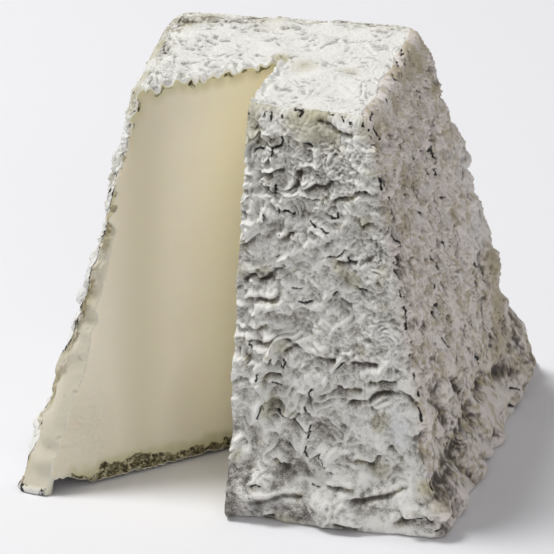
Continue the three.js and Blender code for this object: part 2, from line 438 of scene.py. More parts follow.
def smooth_wall(heights, insets):
    """The wall without wrinkles, as places and outward normals."""
    around = np.arange(COLUMNS)[None, :] / COLUMNS_PER_SIDE + 0 * heights[:, None]
    z = heights[:, None] + 0 * around
    out = swelling(around, z) + foot(around, z) + folds(around, z) - insets[:, None]
    flat = round_outline(around, z) + outwards(around, z) * out[..., None]
    places = np.concatenate([flat, z[..., None]], -1)
    normal = np.cross(np.roll(places, -1, 1) - np.roll(places, 1, 1), np.gradient(places, axis=0))
    return places, normal / np.linalg.norm(normal, axis=-1)[..., None]


def spot(places, centre, reach):
    """1 at the centre, in millimetres, and fading to 0 about the given reach away."""
    return bell(np.linalg.norm(places - np.array(centre), axis=-1) / reach)


def view_axes():
    """Directions in the photograph's view: to the right, upwards and towards the camera."""
    right = np.array([math.cos(AZIMUTH), math.sin(AZIMUTH), 0])
    level = np.array([math.sin(AZIMUTH), -math.cos(AZIMUTH), 0])
    back = level * math.cos(ELEVATION) + np.array([0, 0, math.sin(ELEVATION)])
    return right, np.cross(back, right), back


def view_target():
    right, up, _ = view_axes()
    return right * AIM[0] + up * AIM[1] + np.array([0, 0, AIM[2]])


def in_photo(places):
    """Where places on the cheese appear in the photograph, in pixels from its top left."""
    right, up, back = view_axes()
    offset = places - view_target() - back * DISTANCE
    scale = FOCAL / -(offset @ back)
    x = PICTURE / 2 + offset @ right * scale
    return np.stack([x, PICTURE / 2 - offset @ up * scale], -1)


def stains_in_photo(places, stains):
    seen = in_photo(places)
    total = 0
    for x, y, half_width, half_height, strength in stains:
        across, down = (seen[..., 0] - x) / half_width, (seen[..., 1] - y) / half_height
        total += strength * bell(np.hypot(across, down))
    return total


def line_distance(points, line):
    best = np.full(len(points), np.inf)
    for start, end in zip(line, line[1:]):
        stretch = end - start
        share = np.clip((points - start) @ stretch / (stretch @ stretch), 0, 1)
        gap = np.linalg.norm(points - start - share[:, None] * stretch, axis=-1)
        best = np.minimum(best, gap)
    return best


def traced(seen, lines, width, shift=(0, 0)):
    """Distance from the lines, moved by the shift, in widths; both are in pixels. It is
    worked out only as far as three widths away."""
    nearest = np.full(seen.shape[:-1], 3.0)
    for line in lines:
        line = np.cumsum(np.reshape(line, (-1, 2)), 0) + np.array(shift, float)
        low, high = line.min(0) - 3 * width, line.max(0) + 3 * width
        near = ((seen > low) & (seen < high)).all(-1)
        nearest[near] = np.minimum(nearest[near], line_distance(seen[near], line) / width)
    return nearest


def seen_creases(places, around):
    """The creases, slits and folds that the photograph shows, as relief and maps."""
    seen = in_photo(places)
    front, right = around < 1.01, (around > 0.99) & (around < 2)
    slit = front * tent(traced(seen, FRONT_SLITS, SLIT_REACH))
    slit = np.maximum(slit, right * tent(traced(seen, RIGHT_SLITS, SIDE_SLIT_REACH)))
    slit = np.maximum(slit, (front | right) * tent(traced(seen, EDGE_SLITS, SIDE_SLIT_REACH)))
    lip = front * bell(traced(seen, FRONT_SLITS, 2.2, (-1.2, -3.0)))
    crease = front * bell(traced(seen, FRONT_CREASES, 2.6))
    crease = crease + right * bell(traced(seen, RIGHT_CREASES, 3.4))
    hood = front * bell(traced(seen, FRONT_CREASES, 3.0, (-1.0, -4.8)))
    fold = front * folded(traced(seen, FRONT_FOLDS, 1.8))
    hollow = right * bell(traced(seen, RIGHT_HOLLOW, 11))
    relief = 0.35 * lip + 0.45 * hood + fold - 0.35 * slit - 0.75 * crease - 1.6 * hollow
    return relief, slit, np.maximum(crease, hollow), np.maximum(fold, 0.5 * lip)


def tent(x):
    return np.clip(1 - np.abs(x), 0, 1)


def folded(x):
    """A sharp crest with slack flanks."""
    return 0.5 * bell(x) + 0.5 * np.exp(-np.abs(x) / 2.5)


def crest_lines(field):
    """Distance in cells from the lines where the field is zero, below them negative, and
    how firmly the field crosses zero there."""
    up, across = np.gradient(field)
    slope = np.hypot(up, across)
    firm = smooth(1.1 * slope / slope.mean() - 0.35)
    return field / (slope + 0.01) * np.sign(up), firm


def crests(shape, networks, width, spread=0.0):
    """Thin winding crests of the given width, the hollows under them and the cracks beside
    them, 0 to 1. Each network has a seed, a wavelength in cells and a stretch."""
    ridge, under, crack = 0.0, 0.0, 0.0
    for seed, wave, stretch in networks:
        lines = wrinkles(shape, wave, seed, stretch=stretch, rounds=3, gain=1.0)
        lines = warped(warped(lines, 10, seed + 1), 4, seed + 7)
        away, firm = crest_lines(lines)
        strong = firm * smooth((clouds(shape, 20, seed + 2) + spread) / 0.8)
        dashes = strong * smooth((clouds(shape, 9, seed + 3) - 0.75) / 0.4)
        ridge = np.maximum(ridge, folded(away / width) * strong)
        under = np.maximum(under, bell((away + 4.8) / 2.8) * strong)
        crack = np.maximum(crack, tent((away + 2.8) / 2.4) * rise(dashes, 0.2, 0.3))
    return ridge, under, crack


def wall_patterns(rows, upright):
    """The patterns on the walls' grid: wrinkles by size, crests, patches and streaks."""
    shape = (rows + PATTERN_MARGIN, COLUMNS)
    fields = {
        "rolls": warped(wrinkles(shape, 32, 1, stretch=1.4), 10, 20),
        "second": warped(wrinkles(shape, 12, 31, stretch=1.2, rounds=5), 4, 34),
        "small": wrinkles(shape, 5.5, 51, stretch=1.1, rounds=3, gain=1.2),
        "puffs": warped(wrinkles(shape, 44, 61, stretch=1.3, rounds=5), 7, 64),
        "patch": clouds(shape, 100, 71),
        "second_patch": clouds(shape, 56, 73),
    }
    wide, narrow = crests(shape, WIDE_CRESTS, 1.5), crests(shape, NARROW_CRESTS, 3.2, 0.5)
    for name, level, steep in zip(("ridge", "under", "crack"), wide, narrow):
        fields[name] = level * (1 - upright) + steep * upright
    fields["streaks"] = clouds(shape, 3.5, 75, 0.7) + clouds(shape, 12, 76, 0.35)
    fields["blotches"] = clouds(shape, 13, 78)
    return SimpleNamespace(**{name: field[:rows] for name, field in fields.items()})


def wall_relief(heights, places):
    """How far the wrinkles push the wall outwards, with the maps that colour it."""
    around = np.arange(COLUMNS)[None, :] / COLUMNS_PER_SIDE
    z = heights[:, None]
    share = z / HEIGHT
    upright = blend_round(UPRIGHT, around)
    on = wall_patterns(len(heights), upright)
    foot_share = fall(share, FOOT_BELOW, 0.16)
    rim_fade = smooth((HEIGHT - z - 1) / 4)
    strength = (0.15 + 0.85 * rim_fade) * (1 - 0.4 * foot_share)
    strength = strength * blend_round(ROUGHNESS, around)
    soft = fall(share, SOFT_BELOW, 0.22) * smooth(0.7 + 0.5 * on.second_patch)
    slack = 1 - (0.4 + 0.3 * upright) * soft
    second_depth = strength * (1 - 0.5 * soft) * (1 + upright)

    relief = strength * (ROLL_DEPTH + 0.06 * on.patch) * on.rolls
    relief += second_depth * (SECOND_DEPTH + 0.04 * on.second_patch) * on.second
    relief += strength * slack * (RIDGE_HEIGHT * on.ridge - UNDER_DEPTH * on.under)
    relief += SMALL_DEPTH * (1 - 0.6 * soft) * on.small
    relief += (0.35 * soft + PUFF_HEIGHT * foot_share) * on.puffs
    smear = smeared(around, z)
    levelled = smear * smooth((beside_cut(around, z) - 1) / 3)
    relief = relief * (0.3 + 0.7 * smooth(z / 2)) * (1 - 0.88 * levelled)

    crack = on.crack * smooth(1.0 - 0.6 * foot_share)
    relief -= CRACK_DEPTH * crack
    seen_relief, slit, crease, fold = seen_creases(places, around + 0 * z)
    relief += seen_relief
    bloom = wall_bloom_and_painted_light(on, relief, share, upright, soft, crease, fold)
    maps = {"bloom": bloom, "crack": np.maximum(crack, slit) * (1 - smear), "smear": smear}
    # Painted shade: the hollows under the crests and the creases, to be painted olive and darker
    # along with the stains.
    maps["under"] = np.maximum(on.under, crease)
    return relief, maps


def wall_bloom_and_painted_light(on, relief, share, upright, soft, crease, fold):
    """How white the mould is, with painted shade in the hollows and highlights on what stands out.
    """
    # Painted shade and highlights: the relief's local height, the hollows under the crests, the
    # creases and the folds make the mould greyer or whiter, as light would.
    local = relief - blurred_rows(relief, 9)
    bloom = 0.75 + 0.6 * local + 0.18 * on.ridge - 0.35 * on.under
    bloom += 0.07 * on.patch + 0.06 * on.small
    bloom += 0.07 * on.second_patch - 0.35 * crease + 0.2 * fold
    bloom += (0.08 - 0.15 * fall(share, 0.5, 0.25)) * (1 - upright)
    bloom += soft * 0.15 * on.blotches
    return bloom + upright * (0.17 + 0.13 * on.streaks + 0.1 * on.ridge)


def from_toe(around, z):
    """Distance in millimetres along the wall from its front left corner."""
    return ((around + 0.5) % SIDES - 0.5) * front_length(z)


def beside_cut(around, z):
    """Distance in millimetres along the wall from where the rind ends beside the cut. The
    knife took the rind off the strip of front wall that is left there."""
    rind_end = RIND_END_LOW + (RIND_END_HIGH - RIND_END_LOW) * rise(z, 20, 16)
    return from_toe(around, z) - rind_end


def smeared(around, z):
    """How much paste lies bare on the strip of wall left of the cut, 0 to 1."""
    past = beside_cut(around, z)
    strip = smooth(past / 0.5) * fall(past, 20, 4)
    return strip * rise(z, 0.6, 0.8)


def wall_stains_and_painted_light(maps, places, heights):
    """Adds the stains, the specks along the edges, the patches of thick white mould, painted
    shade under the crests and in the creases, and a painted highlight beside the cut.
    """
    around = np.arange(COLUMNS)[None, :] / COLUMNS_PER_SIDE
    z = heights[:, None]
    shape = (len(heights) + PATTERN_MARGIN, COLUMNS)

    def patches(*kind):
        return clouds(shape, *kind)[: len(heights)]

    coarse, fine = patches(40, 101), patches(9, 102)
    rim = rise(z, 62, 4)
    olive = 0.7 * rim * smooth(0.55 + 0.5 * coarse) + 0.6 * rise(coarse, 1.5, 0.5)
    # Painted shade: the hollows under the crests and the creases are made olive and darker, on top
    # of the real stains.
    olive += maps.pop("under") * smooth(0.3 + 0.5 * fine)
    facing = (around < 2) * 1.0
    olive += facing * stains_in_photo(places, OLIVE_STAINS)
    rose = rise(around, 0.97, 0.04) * fall(around, 2.3, 0.4) + 0 * z
    streaks = patches(8, 103, 0.7) + 0.7 * patches(24, 104)
    olive += 0.75 * rose * rise(streaks, 0.1, 1.6)
    past = beside_cut(around, z)
    tinge = bell((past - 0.8) / 2.6) * smooth(0.5 + 0.7 * patches(26, 105))
    olive += (0.9 * tinge - olive) * maps["smear"]
    fuzz_and_bounce_light = facing * smooth(stains_in_photo(places, WHITE_STAINS) * (1 + 0.35 * fine))

    ash = sum(strength * spot(places, centre, reach) for centre, reach, strength in ASH_SPOTS)
    corner = np.abs((around + 0.5) % 1 - 0.5) * front_length(z)
    on_edge = bell(corner / 0.35) * rise(fine, 0.3, 0.5) * smooth(1.2 + coarse)
    rim_line = bell((z - HEIGHT + 0.9) / 0.8) * rise(fine, 0.5, 0.5)
    specks = rise(fine, 1.7, 0.3) * ash
    crack = np.clip(maps["crack"] + on_edge + 0.8 * rim_line + specks, 0, 1)
    toe_edge = bell(past / 16) * fall(z, 1.8, 0.6) * rise(fine, -0.5, 0.4)
    rind_edge = bell((past - 0.15) / 0.4) * rise(fine, -0.6, 0.6)
    bloom = maps["bloom"] - 0.25 * ash + 0.12 * rim
    # Painted highlight: the rind is painted whiter for about 9 mm before it ends beside the cut,
    # where the corner faces the lamp.
    maps["bloom"] = bloom + 0.45 * smooth(-past / 0.5) * rise(past, -9, 4)
    maps["crack"] = np.maximum(crack, np.maximum(toe_edge, 0.85 * rind_edge))
    maps["olive"] = np.clip(olive, 0, 1)
    maps["fuzz_and_bounce_light"] = np.clip(fuzz_and_bounce_light, 0, 1)
    maps["rose"] = rose
    return maps


def blurred_rows(field, radius):
    padded = np.concatenate([field, field[::-1]], 0)
    return blurred(padded, radius)[: field.shape[0]]


def wrinkled_wall():
    heights, insets = row_profile()
    places, normals = smooth_wall(heights, insets)
    relief, maps = wall_relief(heights, places)
    maps = wall_stains_and_painted_light(maps, places, heights)
    places += normals * relief[..., None]
    z = heights[:, None]
    droop = 0.3 * (relief + 0.2) * rise(z, 3, 4)
    droop *= smooth((HEIGHT - z) / 5)
    places[..., 2] -= droop + TOP_SAG * rise(z, 58, 10)
    places[..., 2] = np.maximum(places[..., 2], FOOT_RISE * np.arange(len(heights))[:, None])
    places[0, :, 2] = 0
    return places, maps


def four_sides(ring):
    """The sides of a closed ring, as the first row, last column, last row and first column
    of a square grid."""
    n = len(ring) // 4
    closed = np.concatenate([ring, ring[:1]])
    front, right, back, left = (closed[k * n : (k + 1) * n + 1] for k in range(4))
    return front, right, back[::-1], left[::-1]


def coons(rim):
    """A square grid of places that fills the closed ring rim, which has 4 n of them."""
    n = len(rim) // 4
    s = np.linspace(0, 1, n + 1)[None, :, None]
    t = np.linspace(0, 1, n + 1)[:, None, None]
    front, right, back, left = four_sides(rim)
    corners = (
        (1 - s) * (1 - t) * rim[0]
        + s * (1 - t) * rim[n]
        + s * t * rim[2 * n]
        + (1 - s) * t * rim[3 * n]
    )
    left, right = left[:, None], right[:, None]
    return (1 - t) * front + t * back + (1 - s) * left + s * right - corners


def slack_ring(ring, radius):
    """The closed ring of places with its wrinkles smoothed away."""
    steps = np.fft.rfftfreq(len(ring))[:, None]
    kernel = np.exp(-2 * (math.pi * radius * steps) ** 2)
    return np.fft.irfft(np.fft.rfft(ring, axis=0) * kernel, n=len(ring), axis=0)


def from_border(n):
    """For each point of a square grid of n cells, how many cells away its border is."""
    edge = np.minimum(np.arange(n + 1), n - np.arange(n + 1))
    return np.minimum(edge[:, None], edge[None, :])


def top_grid(rim):
    n = COLUMNS_PER_SIDE
    shape = (n + TOP_MARGIN, n + TOP_MARGIN)
    inwards = from_border(n)
    grid = coons(slack_ring(rim, 14))
    grid = grid + (coons(rim) - grid) * smooth(1 - inwards / 14)[..., None]

    def kept(field):
        return field[: n + 1, : n + 1]

    gentle = kept(warped(wrinkles(shape, 17, 91, stretch=1.0, rounds=5, gain=1.3), 6, 94))
    small = kept(wrinkles(shape, 6, 92, stretch=1.0, rounds=3, gain=1.0))
    patch = kept(clouds(shape, 36, 93))
    blotch = kept(clouds(shape, 9, 96))
    specks = smooth((kept(clouds(shape, 3.5, 95)) - 2.1) / 0.4)
    broad = TOP_RELIEF * unevenness(grid[..., 0], grid[..., 1], TOP_RELIEF_LENGTH, 18)
    pits = fall(gentle, -0.8, 0.5) * rise(patch, -0.3, 0.8)
    near_cut = bell(cut_distance(grid) / 1.6)
    rough = 0.35 + 0.65 * smooth(0.5 + 0.8 * patch)
    relief = rough * (0.085 * gentle + 0.03 * small) - 0.2 * pits + near_cut * 0.3 * gentle
    grid[..., 2] += smooth(inwards / 8) * (relief + broad)

    left = fall(grid[..., 0], -10, 14)
    back = rise(grid[..., 1], 11, 8) * fall(grid[..., 0], 14, 20)
    veil = np.clip(0.75 * left + 0.9 * back, 0, 1)
    border = rise(grid[..., 1], 17, 4) + fall(grid[..., 0], -19, 3)
    border = np.clip(border, 0, 1)
    bloom = 1.02 + 0.06 * (gentle - blurred(gentle, 8)) + 0.03 * small - 0.05 * patch
    bloom = bloom - 0.3 * pits - veil * (0.14 + 0.14 * patch + 0.1 * blotch)
    bloom -= border * np.clip(0.14 + 0.16 * blotch, 0, 1)
    specks *= smooth(0.4 + 0.6 * veil + 0.3 * patch)
    olive = 0.6 * border * smooth(0.4 + 0.6 * blotch)
    for centre, reach, strength in TOP_SPOTS:
        olive += strength * spot(grid, centre, reach)
    return grid, full_maps(bloom, np.clip(0.8 * specks, 0, 1), np.clip(olive, 0, 1))


def full_maps(bloom, crack, olive):
    """All maps of the top or base, where those that aren't given are 0."""
    return {**dict.fromkeys(MAP_NAMES, 0 * bloom), "bloom": bloom, "crack": crack, "olive": olive}


def cut_distance(places):
    """Distance in the top from the nearer of the two cuts, which start at the middle."""
    nearest = np.inf
    for through in (CUT_CORNER, CUT_FRONT):
        away, _, square = cut_axes(through)
        offset = places - FOOT_OF_CUTS
        behind = np.maximum(-(offset @ away), 0)
        nearest = np.minimum(nearest, np.hypot(offset @ square, behind))
    return nearest


def base_grid(rim):
    """The underside. It is a little hollow, most of all behind the toe of the cut."""
    grid = coons(rim)
    n = len(rim) // 4
    depth = from_border(n) / n
    rough = unevenness(grid[..., 0], grid[..., 1], 5, 3)
    away, _, square = cut_axes(CUT_CORNER)
    offset = grid - FOOT_OF_CUTS
    toe = np.clip((offset @ away - TOE_START) / TOE_REACH, 0, 1) * bell(offset @ square / 5)
    grid[..., 2] = smooth(depth / 0.08) * (0.6 + 0.15 * rough)
    grid[..., 2] = np.maximum(grid[..., 2], TOE_RISE * smooth(depth / 0.028) * toe)
    shape = (n + TOP_MARGIN, n + TOP_MARGIN)
    small = wrinkles(shape, 6, 111, stretch=1.0, rounds=3)[: n + 1, : n + 1]
    grid[..., 2] += smooth(depth / 0.04) * 0.1 * small
    return grid, full_maps(0.15 + 0.1 * small, 0 * depth, 0 * depth + 0.4)


class MeshParts:
    """Gathers places, quads, uv and maps, piece by piece."""

    def __init__(self):
        self.places, self.maps, self.faces, self.uvs = [], [], [], []
        self.count = 0

    def add_places(self, places, maps):
        """Adds a grid of places, and returns the grid of their numbers."""
        first = self.count
        self.places.append(places.reshape(-1, 3))
        self.maps.append(np.stack([maps[name].reshape(-1) for name in MAP_NAMES], -1))
        self.count += places.size // 3
        return np.arange(first, self.count).reshape(places.shape[:2])

    def add_inner(self, places, maps):
        """Adds a grid of places without its border."""
        return self.add_places(places[1:-1, 1:-1], {k: m[1:-1, 1:-1] for k, m in maps.items()})

    def add_quads(self, grid, corner, size):
        """Adds the quads of a grid of numbers, with a place in the atlas."""
        rows, columns = grid.shape[0] - 1, grid.shape[1] - 1
        u = corner[0] + size[0] * np.arange(columns + 1) / columns
        v = corner[1] + size[1] * np.arange(rows + 1) / rows
        uv = np.stack(np.meshgrid(u, v), -1)
        self.faces.append(ring_of_four(grid).reshape(-1, 4))
        self.uvs.append(ring_of_four(uv).reshape(-1, 4, 2))


def ring_of_four(grid):
    """The four corners of each cell of a grid, anticlockwise."""
    return np.stack([grid[:-1, :-1], grid[:-1, 1:], grid[1:, 1:], grid[1:, :-1]], 2)


def cheese_parts():
    parts = MeshParts()
    wall, maps = wrinkled_wall()
    ids = parts.add_places(wall, maps)
    parts.add_quads(np.concatenate([ids, ids[:, :1]], 1), *WALL_ATLAS)
    top = framed(parts.add_inner(*top_grid(wall[-1])), ids[-1])
    parts.add_quads(top, *TOP_ATLAS)
    base = framed(parts.add_inner(*base_grid(wall[0])), ids[0])
    parts.add_quads(base.T, *BASE_ATLAS)
    return parts


def framed(inner, ring):
    """Grid of numbers with the ring's on its border."""
    n = len(ring) // 4
    grid = np.empty((n + 1, n + 1), int)
    grid[1:-1, 1:-1] = inner
    grid[0, :], grid[:, n], grid[n, :], grid[:, 0] = four_sides(ring)
    return grid


def mesh_of(parts, name):
    places = np.concatenate(parts.places)
    faces = np.concatenate(parts.faces)
    mesh = bpy.data.meshes.new(name)
    mesh.vertices.add(len(places))
    mesh.vertices.foreach_set("co", (places * MM).astype(np.float32).ravel())
    mesh.loops.add(faces.size)
    mesh.loops.foreach_set("vertex_index", faces.astype(np.int32).ravel())
    mesh.polygons.add(len(faces))
    mesh.polygons.foreach_set("loop_start", np.arange(0, faces.size, 4, dtype=np.int32))
    mesh.update(calc_edges=True)
    uv = mesh.uv_layers.new(name="OFBake")
    uv.data.foreach_set("uv", np.concatenate(parts.uvs).astype(np.float32).ravel())
    maps = np.concatenate(parts.maps)
    for index, label in enumerate(MAP_NAMES):
        layer = mesh.attributes.new(label, "FLOAT", "POINT")
        layer.data.foreach_set("value", maps[:, index].astype(np.float32))
    return mesh


# ---- the knife cuts

CUTS_START = Vector(FOOT_OF_CUTS) * MM
MEETING_REACH = 0.002  # how near the line where the cuts meet a place counts as being on it
MEETING_STEP = 0.8
# Spacing of the points in a cut face, from and up to which depth under the rind.
PASTE_SPACINGS = ((0.22, 0.15, 2.2), (0.42, 2.2, 4.2), (1.1, 4.2, 99.0))
# In the cut faces, in millimetres: the depth of the white skin, of the ripe paste and of the
# dark crust in the foot, and how high that crust reaches.
SKIN_DEPTH = 0.36
RIPE_DEPTH = 2.8
CRUST_DEPTH = 1.7
CRUST_TOP = 5.5
# How far along the cut the paste is greyest, and where it lies bare at the foot; the last
# comes nearer by the lean up to the top.
GREY_BAND = 27
BARE_START = 36
BARE_LEAN = 14
# Where the cut faces start in the atlas, and its size for a millimetre.
CUT_ATLAS = (np.array([0.005, 0.665]), np.array([0.26, 0.665]))
CUT_ATLAS_SCALE = 0.0045


def cut_axes(through):
    """Directions in a cut: away from the line where both cuts meet, and up along that line,
    and the direction square to the cut, into the wedge that is taken out."""
    up = np.append(CUT_MIDDLE - CUT_MIDDLE_LOW, HEIGHT)
    up = up / np.linalg.norm(up)
    level = np.append(through - CUT_MIDDLE, 0)
    square = np.cross(level, up)
    square = square / np.linalg.norm(square)
    wedge = CUT_CORNER + CUT_FRONT - 2 * CUT_MIDDLE
    away = level - level @ up * up
    return away / np.linalg.norm(away), up, square * np.sign(square[:2] @ wedge)


def cut_wedge(bm):
    margin = 1.0 * MM
    squares = []
    for through in (CUT_CORNER, CUT_FRONT):
        away, _, square = (Vector(d) for d in cut_axes(through))
        squares.append(square)
        near = {}
        for f in bm.faces:
            offset = f.verts[0].co - CUTS_START
            if offset.dot(away) > -margin and abs(offset.dot(square)) < 3 * margin:
                near.update(dict.fromkeys((f, *f.edges, *f.verts)))
        plane = {"plane_co": CUTS_START, "plane_no": square}
        bmesh.ops.bisect_plane(bm, geom=list(near), dist=1e-7, **plane)
    inside = []
    for f in bm.faces:
        offset = f.calc_center_median() - CUTS_START
        if all(offset.dot(square) > 0 for square in squares):
            inside.append(f)
    bmesh.ops.delete(bm, geom=inside, context="FACES")


def fill_cuts(bm):
    """Fills both cut faces with paste, and returns the new faces."""
    up = Vector(cut_axes(CUT_CORNER)[1])
    meeting = []
    for v in bm.verts:
        offset = v.co - CUTS_START
        if v.is_boundary and (offset - offset.dot(up) * up).length < MEETING_REACH * MM:
            meeting.append(v)
    meeting.sort(key=lambda v: v.co.z)
    low, high = meeting[0], meeting[-1]
    steps = int((high.co.z - low.co.z) / (MEETING_STEP * MM))
    inner = [bm.verts.new(low.co.lerp(high.co, k / steps)) for k in range(1, steps)]
    line = [low, *inner, high]
    return [f for k, end in enumerate((CUT_CORNER, CUT_FRONT)) for f in fill_cut(bm, line, end, k)]


def cut_edges(bm, line, away, square):
    """The edges of the rind along one cut."""
    found = []
    for e in bm.edges:
        offsets = [v.co - CUTS_START for v in e.verts]
        level = all(abs(offset.dot(square)) < 2e-6 for offset in offsets)
        beyond = all(offset.dot(away) > -1e-6 for offset in offsets)
        if e.is_boundary and level and beyond and not all(v in line for v in e.verts):
            found.append(e)
    return found


def fill_cut(bm, line, through, number):
    """Fills one cut face, whose edges are the rind's and the line where the cuts meet."""
    away, up, square = cut_axes(through)
    edges = cut_edges(bm, line, Vector(away), Vector(square))
    known = list(dict.fromkeys([v for e in edges for v in e.verts] + line))
    index = {v: k for k, v in enumerate(known)}
    offsets = np.array([v.co for v in known]) / MM - FOOT_OF_CUTS
    flat = np.stack([offsets @ away, offsets @ up], -1)
    links = [(index[e.verts[0]], index[e.verts[1]]) for e in edges]
    rind = flat[np.array(links)].reshape(-1, 2)
    links += [(index[a], index[b]) for a, b in zip(line, line[1:])]
    outline = flat[np.array(links)]
    points = [Vector(p) for p in np.concatenate([flat, paste_points(outline, rind)])]
    places, _, faces, origins = delaunay_2d_cdt(points, links, [], 0, 1e-6, True)[:4]
    flat = np.array(places)
    solid = FOOT_OF_CUTS + flat[:, :1] * away + flat[:, 1:] * up
    maps, rough = paste_maps(flat, solid[:, 2], rind, number == 0)
    solid = (solid + rough[:, None] * square) * MM
    layers = [bm.verts.layers.float[name] for name in MAP_NAMES]
    made = []
    for place, origin, values in zip(solid, origins, maps):
        shared = [k for k in origin if k < len(known)]
        made.append(known[shared[0]] if shared else bm.verts.new(place))
        if not shared:
            for layer, value in zip(layers, values):
                made[-1][layer] = value
    centres = np.array([flat[list(corners)].mean(0) for corners in faces])
    kept = [corners for corners, keep in zip(faces, within(centres, outline)) if keep]
    return add_paste(bm, made, kept, CUT_ATLAS[number] + CUT_ATLAS_SCALE * flat, square)


def add_paste(bm, made, faces, uv, square):
    """Adds the faces of a cut between the vertices made, facing out of it."""
    atlas = bm.loops.layers.uv["OFBake"]
    filled = []
    for corners in faces:
        ring = [made[k] for k in corners]
        if len(set(ring)) < 3:
            continue
        face = bm.faces.new(ring)
        face.normal_update()
        for loop in face.loops:
            loop[atlas].uv = uv[corners[ring.index(loop.vert)]]
        if face.normal.dot(Vector(square)) < 0:
            face.normal_flip()
        face.material_index = 1
        filled.append(face)
    return filled


def paste_maps(flat, z, rind, to_corner):
    """The maps of places in a cut face, from how deep they lie under the rind, and how far
    they stand out of the cut, in millimetres. The cut to the corner has bare paste along its
    outer end."""
    away, up = flat.T
    depth = nearest_distance(flat, rind)
    ragged, fine = unevenness(away, up, 2.8, 4), unevenness(away, up, 1.4, 6)
    bare = smooth((away - BARE_START + BARE_LEAN * z / HEIGHT) / 3) * fall(z, 64, 4)
    bare = to_corner * bare
    skin = SKIN_DEPTH + 0.24 * ragged
    foot_skin = CRUST_DEPTH + 1.2 * rise(away, 18, 8) - 2.2 * rise(away, 34, 2.5)
    foot_skin += 0.35 * ragged
    low = fall(z, CRUST_TOP, 2) * fall(away, 42, 3)
    in_foot = low * smooth((foot_skin - depth) / 0.4)
    edge = (1 - low) * (1 - bare)
    white = smooth((skin - depth) / 0.12) * edge
    # Ash and painted shade: a dark line under the white skin, the ash under the rind, drawn also
    # to stand in for the shade under the rind's overhanging edge.
    dark = bell((depth - skin - 0.15) / 0.3) * smooth(0.5 + 0.6 * ragged) * edge
    dark = np.maximum(dark, in_foot)
    ripe = smooth(1 - depth / RIPE_DEPTH) * edge
    ripe = np.maximum(ripe, low * smooth(1 - (depth - foot_skin) / 2.6))
    corner = 0.8 * to_corner * rise(away, 27, 2.5) * rise(z, 56, 8)
    ripe = np.maximum(ripe, corner)
    band = np.maximum(bell((away - GREY_BAND) / 5.5), 0.6 * fall(z, 24, 14)) * to_corner
    torn = to_corner * rise(away, 31, 5) * fall(z, 22, 10)
    rough = 0.3 * in_foot * fine * rise(depth, 0.1, 0.3)
    maps = {"bloom": white, "crack": dark, "olive": ripe, "rose": band, "smear": torn}
    # Painted warm bounce light, strongest by the line where the cuts meet.
    maps["fuzz_and_bounce_light"] = fall(away, 20, 10)
    return np.stack([np.clip(maps[name], 0, 1) for name in MAP_NAMES], -1), rough


def paste_points(outline, rind):
    """Points inside a cut face: closely set under the rind, and wider apart further in."""
    low, high = outline.min((0, 1)), outline.max((0, 1))
    points = []
    for spacing, nearest, furthest in PASTE_SPACINGS:
        x = np.arange(low[0], high[0], spacing)
        y = np.arange(low[1], high[1], spacing)
        grid = np.stack(np.meshgrid(x, y), -1).reshape(-1, 2)
        grid = grid + np.random.default_rng(5).uniform(-0.2, 0.2, grid.shape) * spacing
        gap = nearest_distance(grid, rind)
        grid = grid[(gap > nearest) & (gap <= furthest) & (grid[:, 0] > 0.3)]
        points.append(grid[within(grid, outline)])
    return np.concatenate(points)


def within(points, outline):
    """Whether each point lies inside the closed outline, given as pairs of ends."""
    inside = np.zeros(len(points), bool)
    for (x0, y0), (x1, y1) in outline:
        if y0 == y1:
            continue
        spans = (points[:, 1] >= min(y0, y1)) & (points[:, 1] < max(y0, y1))
        crossing = x0 + (points[:, 1] - y0) * (x1 - x0) / (y1 - y0)
        inside ^= spans & (points[:, 0] < crossing)
    return inside


def nearest_distance(points, targets):
    best = np.full(len(points), np.inf)
    for start in range(0, len(points), 4000):
        chunk = points[start : start + 4000]
        gap = np.linalg.norm(chunk[:, None] - targets[None], axis=-1)
        best[start : start + 4000] = gap.min(1)
    return best


def build_cheese():
    mesh = mesh_of(cheese_parts(), "cheese_body")
    bm = bmesh.new()
    bm.from_mesh(mesh)
    cut_wedge(bm)
    filled = fill_cuts(bm)
    smear = bm.verts.layers.float["smear"]
    for e in {e for f in filled for e in f.edges}:
        beside_rind = any(f.material_index == 0 for f in e.link_faces)
        e.smooth = not beside_rind or all(v[smear] > 0.5 for v in e.verts)
    for f in bm.faces:
        f.smooth = True
    bm.to_mesh(mesh)
    bm.free()
    piece = bpy.data.objects.new("cheese_body", mesh)
    bpy.context.scene.collection.objects.link(piece)
    return piece


# ---- looks

# Colours as seen on screen, 0 to 255. Ash to white mould, by how white the mould is, a map that
# also holds painted shade and highlights:
MOULD = ((0, (96, 92, 88)), (0.3, (152, 147, 141)), (0.6, (200, 197, 190)), (1, (240, 239, 233)))
BLACK_ASH = (34, 33, 33)
# Olive of the stains, and of the painted shade under the crests and in the creases.
OLIVE = (196, 188, 150)
PINK = (252, 243, 242)
THICK_MOULD = (236, 238, 237)
# Smeared paste beside the cut, painted darker than the cut face's paste as painted shade, so that
# the strip, which the lamps light more, looks no brighter than the cut face.
SMEARED_PASTE_IN_PAINTED_SHADE = (214, 207, 187)
PASTE = ((0.3, (238, 231, 212)), (0.7, (243, 236, 219)))
GREY_PASTE = (222, 214, 191)
# Painted warm bounce light, deep in the notch between the two cut faces.
PASTE_IN_BOUNCE_LIGHT = (251, 243, 219)
RIPE_PASTE = (200, 195, 156)
SKIN = (232, 232, 226)
# Dark crust, and the dark line under the skin, which is partly painted shade under the rind's
# edge.
CRUST = (
    (0.38, (46, 42, 34)), (0.47, (96, 90, 62)), (0.56, (160, 153, 118)), (0.66, (216, 211, 190)),
)


def linear(red, green, blue):
    """A colour as seen on screen, as linear light."""
    def channel(value):
        v = value / 255
        return v / 12.92 if v <= 0.04045 else ((v + 0.055) / 1.055) ** 2.4
    return (channel(red), channel(green), channel(blue), 1)


